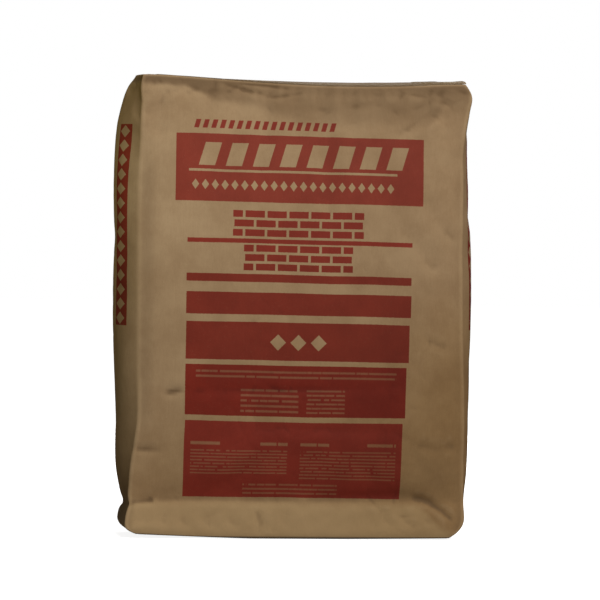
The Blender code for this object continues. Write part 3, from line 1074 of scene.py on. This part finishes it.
# The floor, the soft studio light and the camera.
floor = bmesh.new()
bmesh.ops.create_grid(floor, x_segments=1, y_segments=1, size=8.0)
floor_mesh = bpy.data.meshes.new("pale_floor")
floor.to_mesh(floor_mesh)
floor.free()
pale_floor = bpy.data.objects.new("pale_floor", floor_mesh)
bpy.context.scene.collection.objects.link(pale_floor)
floor_paint = bpy.data.materials.new("pale_floor")
floor_paint.use_nodes = True
tree = floor_paint.node_tree
shader = tree.nodes["Principled BSDF"]
shader.inputs["Roughness"].default_value = 0.9
seen = tree.nodes.new("ShaderNodeLightPath").outputs["Is Camera Ray"]
floor_colour = mix_node(tree, seen, (0.20, 0.19, 0.18, 1), (0.93, 0.93, 0.93, 1))
connect(tree, floor_colour, shader.inputs["Base Color"])
coordinates = tree.nodes.new("ShaderNodeTexCoord")
distance = tree.nodes.new("ShaderNodeVectorMath")
distance.operation = "LENGTH"
connect(tree, coordinates.outputs["Object"], distance.inputs[0])
glow = ramp_node(tree, distance.outputs["Value"], 0.15, 0.9, 0.88, 1.0)
shader.inputs["Emission Color"].default_value = (1.0, 1.0, 1.0, 1.0)
connect(tree, sum_node(tree, "MULTIPLY", glow, seen), shader.inputs["Emission Strength"])
floor_mesh.materials.append(floor_paint)

world = bpy.data.worlds.new("studio")
bpy.context.scene.world = world
world.use_nodes = True
tree = world.node_tree
background = tree.nodes["Background"]
background.inputs["Color"].default_value = (1.0, 1.0, 1.0, 1.0)
seen = tree.nodes.new("ShaderNodeLightPath").outputs["Is Camera Ray"]
connect(tree, ramp_node(tree, seen, 0.0, 1.0, 0.06, 1.0), background.inputs["Strength"])


def soft_light(name, place, size, watts, tint, aim_height=0.3, spread=180):
    """A square area light that faces a height on the bag's middle."""
    lamp = bpy.data.lights.new(name, "AREA")
    lamp.size = size
    lamp.energy = watts
    lamp.color = tint
    lamp.spread = math.radians(spread)
    holder = bpy.data.objects.new(name, lamp)
    holder.location = place
    aim = Vector((0, 0, aim_height)) - Vector(place)
    holder.rotation_euler = aim.to_track_quat("-Z", "Y").to_euler()
    bpy.context.scene.collection.objects.link(holder)


soft_light("key", (0.68, -2.55, 2.35), 1.3, 85, (1.0, 0.98, 0.95))
soft_light("left_fill", (-1.6, 0.05, 0.9), 0.5, 0.11, (1.0, 0.90, 0.16), 0.42, 30)
soft_light("right_fill", (1.3, -0.5, 0.6), 0.6, 1.0, (1.0, 0.70, 0.35))
soft_light("back_light", (0.5, 1.7, 0.7), 0.8, 14, (1.0, 0.98, 0.95))

VIEW_FROM_LEFT = math.radians(8.5)
VIEW_HEIGHT = math.radians(2.0)
VIEW_DISTANCE = 4.5
VIEW_ROLL = math.radians(1.2)
FRAME_WIDTH = 600
PIXELS_PER_METRE = 800
MIDDLE_PIXEL = (292, 306)
bag_middle = Vector((0, 0, 0.2875))
away = Vector(
    (
        -math.sin(VIEW_FROM_LEFT) * math.cos(VIEW_HEIGHT),
        -math.cos(VIEW_FROM_LEFT) * math.cos(VIEW_HEIGHT),
        math.sin(VIEW_HEIGHT),
    )
)
camera_data = bpy.data.cameras.new("camera")
camera_data.lens = camera_data.sensor_width * VIEW_DISTANCE * PIXELS_PER_METRE / FRAME_WIDTH
camera = bpy.data.objects.new("camera", camera_data)
bpy.context.scene.collection.objects.link(camera)
bpy.context.scene.camera = camera
camera.rotation_euler = (-away).to_track_quat("-Z", "Y").to_euler()
camera.rotation_euler.rotate_axis("Z", VIEW_ROLL)
right = camera.rotation_euler.to_matrix() @ Vector((1, 0, 0))
above = camera.rotation_euler.to_matrix() @ Vector((0, 1, 0))
aside = (FRAME_WIDTH / 2 - MIDDLE_PIXEL[0]) / PIXELS_PER_METRE
over = (MIDDLE_PIXEL[1] - FRAME_WIDTH / 2) / PIXELS_PER_METRE
camera.location = bag_middle + away * VIEW_DISTANCE + right * aside + above * over
bpy.context.scene.view_settings.view_transform = "Standard"
